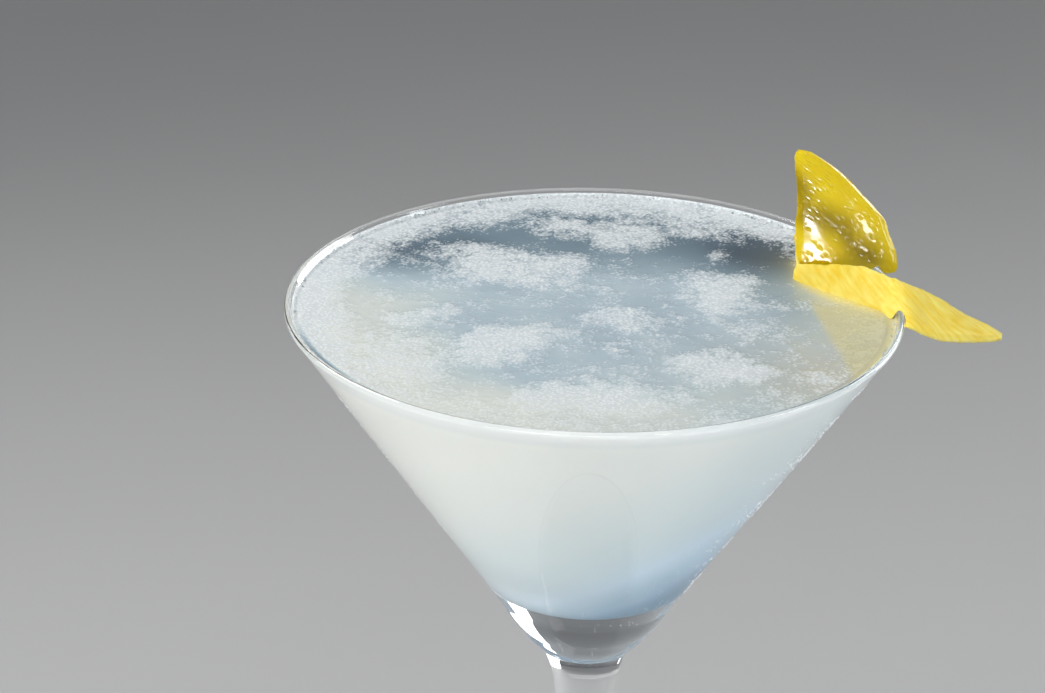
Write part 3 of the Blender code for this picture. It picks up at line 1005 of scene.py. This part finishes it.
mesh = bmesh.new()
mesh.from_mesh(twist.data)
mesh.normal_update()
uv_layer = mesh.loops.layers.uv["peel"]
moves = []
for vert in mesh.verts:
    sides = {face.material_index for face in vert.link_faces}
    if len(sides) != 1 or CUT in sides:
        continue
    flat_u, flat_v = vert.link_loops[0][uv_layer].uv
    u, v = flat_u * PEEL_UV_LENGTH, (flat_v - 0.5) * PEEL_UV_LENGTH
    rise = -pit_depth_at(u, v) if ZEST in sides else ridge_height_at(u, v)
    moves.append((vert, vert.co + vert.normal * rise))
for vert, place in moves:
    vert.co = place
mesh.to_mesh(twist.data)
mesh.free()
print(f"{len(moves)} points of the peel moved")

# %% [markdown]
# The slit that holds the twist on the rim is cut with a Boolean, after the relief, so that its
# sides stay even.

# %% The slit
rim_slot = make_rim_slot()
cut = twist.modifiers.new("Slit", "BOOLEAN")
cut.operation = "DIFFERENCE"
cut.solver = "EXACT"
cut.object = rim_slot
apply_modifiers(twist)
bpy.data.objects.remove(rim_slot)
print(f"the twist has {len(twist.data.polygons)} faces")

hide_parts("lemon_twist")
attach(twist, "root")

# %% [markdown]
# ## Dew and bubbles
# The drink is ice cold, so fine dew sits on the outside of the bowl, most of it at the right. Each
# drop is a small flattened ball, half sunk in the wall. Along the wall inside, single bubbles cling
# to the meniscus. Both are scattered by seeded random numbers, in bunches, by noise. A bunch of dew
# is (turned, breadth, lowest, highest, tries, largest drop), in degrees and millimetres.

# %% Drops on the wall and bubbles at the rim
DEW_BUNCHES = [
    (64, 8, 118, 166, 2200, 0.34), (46, 14, 114, 152, 700, 0.16),
    (-65, 5, 128, 164, 420, 0.26), (5, 40, 118, 158, 60, 0.12),
]
BUBBLE_TRIES = 520


def on_cone(turned, height, depth):
    """A point on the cone's wall and its outward normal. Turned 0 is in front, 90 at the right."""
    turned = math.radians(turned)
    radius = wall_radius(height, depth)
    outward = Vector((math.sin(turned), -math.cos(turned), 0))
    normal = outward * math.cos(CONE_HALF_ANGLE) - Vector((0, 0, math.sin(CONE_HALF_ANGLE)))
    return outward * radius + Vector((0, 0, height)), normal


def turned_to(normal):
    """How a ball is turned so that its top points along the normal."""
    return normal.to_track_quat("Z", "Y").to_matrix()


random.seed(11)
dew = []
for middle, breadth, low, high, tries, largest in DEW_BUNCHES:
    for _ in range(tries):
        turned = random.gauss(middle, breadth)
        height = random.uniform(low, high) * MM
        place, normal = on_cone(turned, height, 0)
        if noise.noise(place / (5 * MM)) < random.uniform(-0.1, 0.4):
            continue
        size = random.triangular(0.05, largest, 0.10) * MM
        radii = (size, size * random.uniform(0.85, 1.2), 0.5 * size)
        dew.append((place, turned_to(normal), radii))
print(f"{len(dew)} drops of dew")

bubbles = []
for _ in range(BUBBLE_TRIES):
    turned = random.uniform(0, 360)
    around = Vector((math.cos(math.radians(turned)), math.sin(math.radians(turned)), 0))
    if noise.noise(around * 9) < random.uniform(-0.5, 0.3):
        continue
    size = random.triangular(0.07, 0.24, 0.10) * MM
    place, normal = on_cone(turned, DRINK_LEVEL + random.uniform(0.1, 0.8) * MM, WALL)
    bubbles.append((place - normal * 0.8 * size, turned_to(normal), (size, size, size)))
print(f"{len(bubbles)} bubbles at the wall")

# %% [markdown]
# The dew's material is white and wet, with the index of water, 1.33: the white is a painted
# highlight, which stands in for the sparkle of clear drops. A bubble is a thin bright skin round
# air, which at this size looks white with a soft shine.

# %% Their materials
dew_painted_sparkle, tree, shader = new_material("dew_painted_sparkle", IOR=1.33, Roughness=0.05)
sparkle_tone = clouds(tree, object_place(tree), 700.0)
# Painted highlight: white stands in for the sparkle of clear drops.
white = ramp(tree, sparkle_tone, [(0.3, (0.86, 0.90, 0.92)), (0.6, (0.97, 0.98, 0.985))])
feed(tree, shader, Base_Color=white, Roughness=map_range(tree, sparkle_tone, 0.4, 0.7, 0.02, 0.15))
wall_dew = scatter(1, dew, "wall_dew", dew_painted_sparkle)
wall_dew.visible_shadow = False
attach(wall_dew, "root")

bubble_skin, tree, shader = new_material(
    "bubble_skin", IOR=1.34, Roughness=0.12, Transmission_Weight=0.35,
)
tone = clouds(tree, object_place(tree), 800.0)
bright = screen_ramp(tree, tone, [(0.35, 170, 184, 190), (0.65, 236, 240, 242)])
feed(tree, shader, Base_Color=bright)
rim_bubbles = scatter(2, bubbles, "rim_bubbles", bubble_skin)
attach(rim_bubbles, "root")

# %% [markdown]
# ## The floor, the light and the camera
# The floor is plain and pale. The main lamp stands high at the back left and makes the drink's
# surface glow. A wide lamp low in front lights the drink's side and grazes the floor, which stays
# calm behind the pale drink. Two weaker ones lift the edges of the bowl: a cool one at the right,
# and a warm one at the left that glass neither mirrors nor bends.

# %% The floor
floor_paint, tree, shader = new_material("floor_paint", Roughness=0.7)
shade = clouds(tree, object_place(tree), 3.0, 3.0)
pale = ramp(tree, shade, [(0.3, (0.42, 0.42, 0.425)), (0.7, (0.45, 0.45, 0.455))])
feed(tree, shader, Base_Color=pale)
mesh = bmesh.new()
bmesh.ops.create_grid(mesh, x_segments=8, y_segments=8, size=6)
floor = finish_piece(mesh, "floor", floor_paint)


# %% Soft lights
MIDDLE_OF_GLASS = Vector((0, 0, 0.145))


def soft_light(name, turned, raised, distance, size, power, colour=(1.0, 1.0, 1.0), beam=180):
    """A rectangular lamp that faces the glass. Turned 0 is in front, and 90 at the right."""
    turned, raised = math.radians(turned), math.radians(raised)
    level = Vector((math.sin(turned), -math.cos(turned), 0))
    toward = level * math.cos(raised) + Vector((0, 0, math.sin(raised)))
    lamp = bpy.data.lights.new(name, "AREA")
    lamp.shape = "RECTANGLE"
    lamp.size, lamp.size_y = size
    lamp.energy = power
    lamp.color = colour
    lamp.spread = math.radians(beam)
    light = bpy.data.objects.new(name, lamp)
    light.location = MIDDLE_OF_GLASS + toward * distance
    light.rotation_euler = (-toward).to_track_quat("-Z", "Y").to_euler()
    bpy.context.scene.collection.objects.link(light)
    return light


main_lamp = soft_light("back_left", 235, 42, 0.95, (0.45, 0.45), 1.2, (1.0, 0.995, 0.98), beam=70)
main_lamp.visible_transmission = False
soft_light("front_low", -12, 8, 1.1, (1.0, 0.4), 2.35, (1.0, 0.995, 0.985), beam=120)
soft_light("right", 75, 22, 0.95, (0.3, 0.5), 0.65, (0.92, 0.97, 1.0), beam=90)
left_lamp = soft_light("left", -82, 6, 0.95, (0.3, 0.4), 0.27, (1.0, 0.965, 0.90), beam=60)
left_lamp.visible_glossy = False
left_lamp.visible_transmission = False

# %% [markdown]
# Clear glass shows mostly what it mirrors and bends. Two lamps behind it draw bright lines along
# the rim, the base of the bowl and the stem, and two small ones in front make the wet zest shine.
# All four are left out of diffuse light. Those behind are seen in reflections and through the
# glass, and those in front in reflections only.

# %% Lamps for bright lines and glints
behind = (
    soft_light("glint_back_right", 133, 14, 0.9, (0.60, 0.80), 9.5),
    soft_light("glint_back_left", 224, 10, 0.9, (0.03, 0.30), 0.15, (0.95, 0.98, 1.0)),
)
in_front = (
    soft_light("glint_front_left", 343, 13, 1.0, (0.15, 0.12), 2.2),
    soft_light("glint_front_right", 25, 26, 1.0, (0.10, 0.15), 1.2),
)
for glint in behind + in_front:
    glint.visible_diffuse = False
for glint in in_front:
    glint.visible_transmission = False

# %% [markdown]
# The room itself is dim near the horizon and brighter above. The dim part shows at the edges of
# clear glass as the grey lines that give it its outline.

# %% The room
world = bpy.data.worlds.new("studio")
bpy.context.scene.world = world
world.use_nodes = True
tree = world.node_tree
toward = add(tree, "ShaderNodeTexCoord").outputs["Generated"]
height = add(tree, "ShaderNodeSeparateXYZ", {"Vector": toward}).outputs["Z"]
sky = ramp(tree, height, [
    (0.0, (0.10, 0.10, 0.105)), (0.3, (0.20, 0.205, 0.21)), (0.75, (0.50, 0.505, 0.51)),
])
tree.links.new(sky, tree.nodes["Background"].inputs["Color"])
tree.nodes["Background"].inputs["Strength"].default_value = 0.84
bpy.context.scene.view_settings.view_transform = "Standard"

# %% [markdown]
# The camera looks down at the rim from 23 degrees, with a long lens, half a metre away. It is
# turned a little to the side, and rolled by a degree.

# %% The camera
CAMERA_DISTANCE = 0.5164
CAMERA_HEIGHT_ANGLE = math.radians(23.32)
CAMERA_YAW, CAMERA_PITCH, CAMERA_ROLL = (math.radians(a) for a in (-1.387, 0.979, 1.359))

lens = bpy.data.cameras.new("camera")
lens.lens = 100
lens.sensor_width = 36
lens.sensor_fit = "HORIZONTAL"
lens.clip_start = 0.01
camera = bpy.data.objects.new("camera", lens)
bpy.context.scene.collection.objects.link(camera)
tilt = CAMERA_HEIGHT_ANGLE + CAMERA_PITCH
forward = Vector((0, math.cos(tilt), -math.sin(tilt)))
right = Vector((1, 0, 0))
up = right.cross(forward)
look = forward * math.cos(CAMERA_YAW) + right * math.sin(CAMERA_YAW)
across = right * math.cos(CAMERA_YAW) - forward * math.sin(CAMERA_YAW)
x_axis = across * math.cos(CAMERA_ROLL) + up * math.sin(CAMERA_ROLL)
y_axis = up * math.cos(CAMERA_ROLL) - across * math.sin(CAMERA_ROLL)
eye = Vector((0, -CAMERA_DISTANCE * math.cos(CAMERA_HEIGHT_ANGLE),
              RIM_HEIGHT + CAMERA_DISTANCE * math.sin(CAMERA_HEIGHT_ANGLE)))
facing = Matrix((x_axis, y_axis, -look)).transposed().to_4x4()
camera.matrix_world = Matrix.Translation(eye) @ facing
bpy.context.scene.camera = camera
